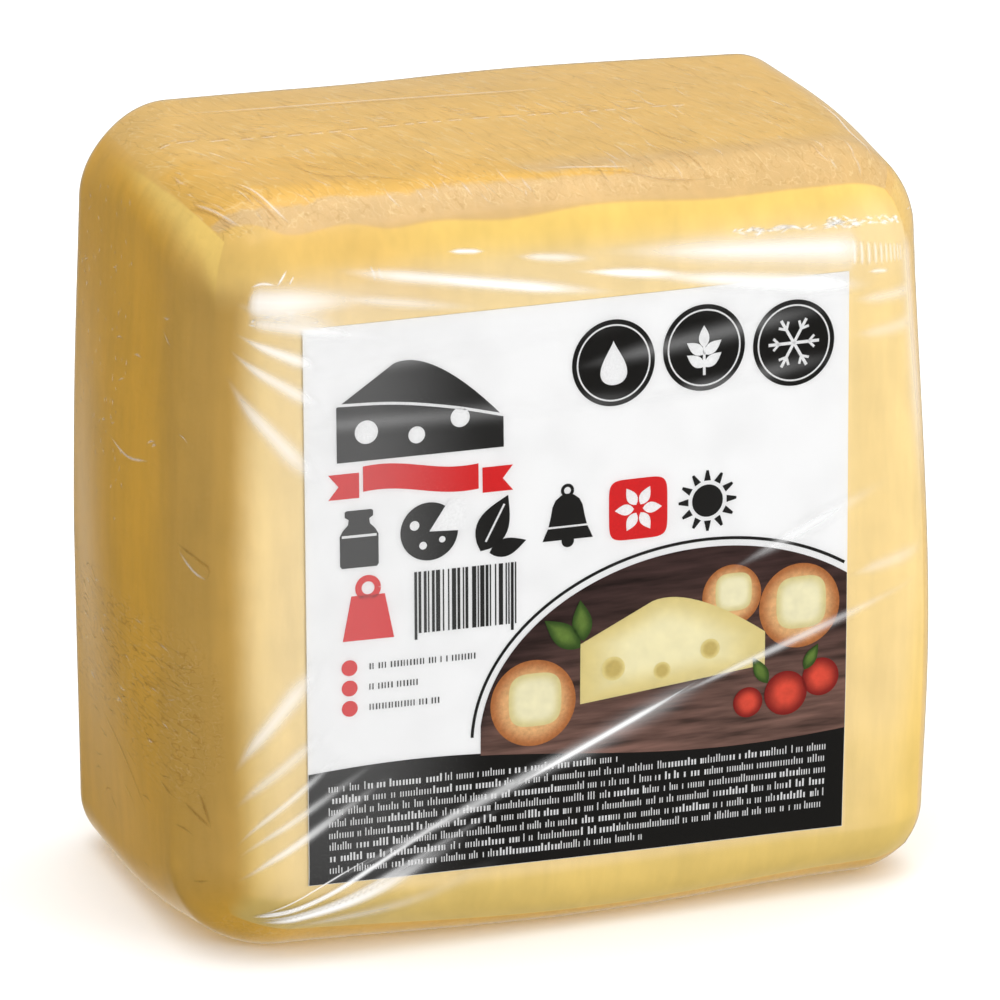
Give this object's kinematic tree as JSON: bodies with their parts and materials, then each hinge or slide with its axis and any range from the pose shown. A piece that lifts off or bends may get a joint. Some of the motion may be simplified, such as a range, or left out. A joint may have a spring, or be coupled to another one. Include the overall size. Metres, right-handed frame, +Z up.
{
  "type": "film-wrapped cheese block",
  "caption": "Rectangular block of semi-hard yellow cheese, shrink-wrapped in clear film over a square front label, standing upright on its narrow foot.",
  "frame": {"origin": "under the middle of the pack's box, on the plane that its foot rests on", "axes": "+Z up through the standing block, -Y out of the labelled front, +X to the label's right as it is looked at"},
  "size_m": [0.1222, 0.0738, 0.1188],
  "materials": {
    "cheese": "waxy yellow cheese under tight glossy clear film",
    "label_paper": "white printed label film",
    "black_ink": "black print",
    "board_ink": "dark brown print",
    "wedge_ink": "pale yellow print"
  },
  "bodies": {
    "root": {"wrapped_block": "cheese", "label": "label_paper", "print_band": "black_ink", "print_roundel_left": "black_ink", "print_roundel_middle": "black_ink", "print_roundel_right": "black_ink", "print_emblem": "black_ink", "print_board": "board_ink", "print_wedge": "wedge_ink"}
  },
  "joints": []
}
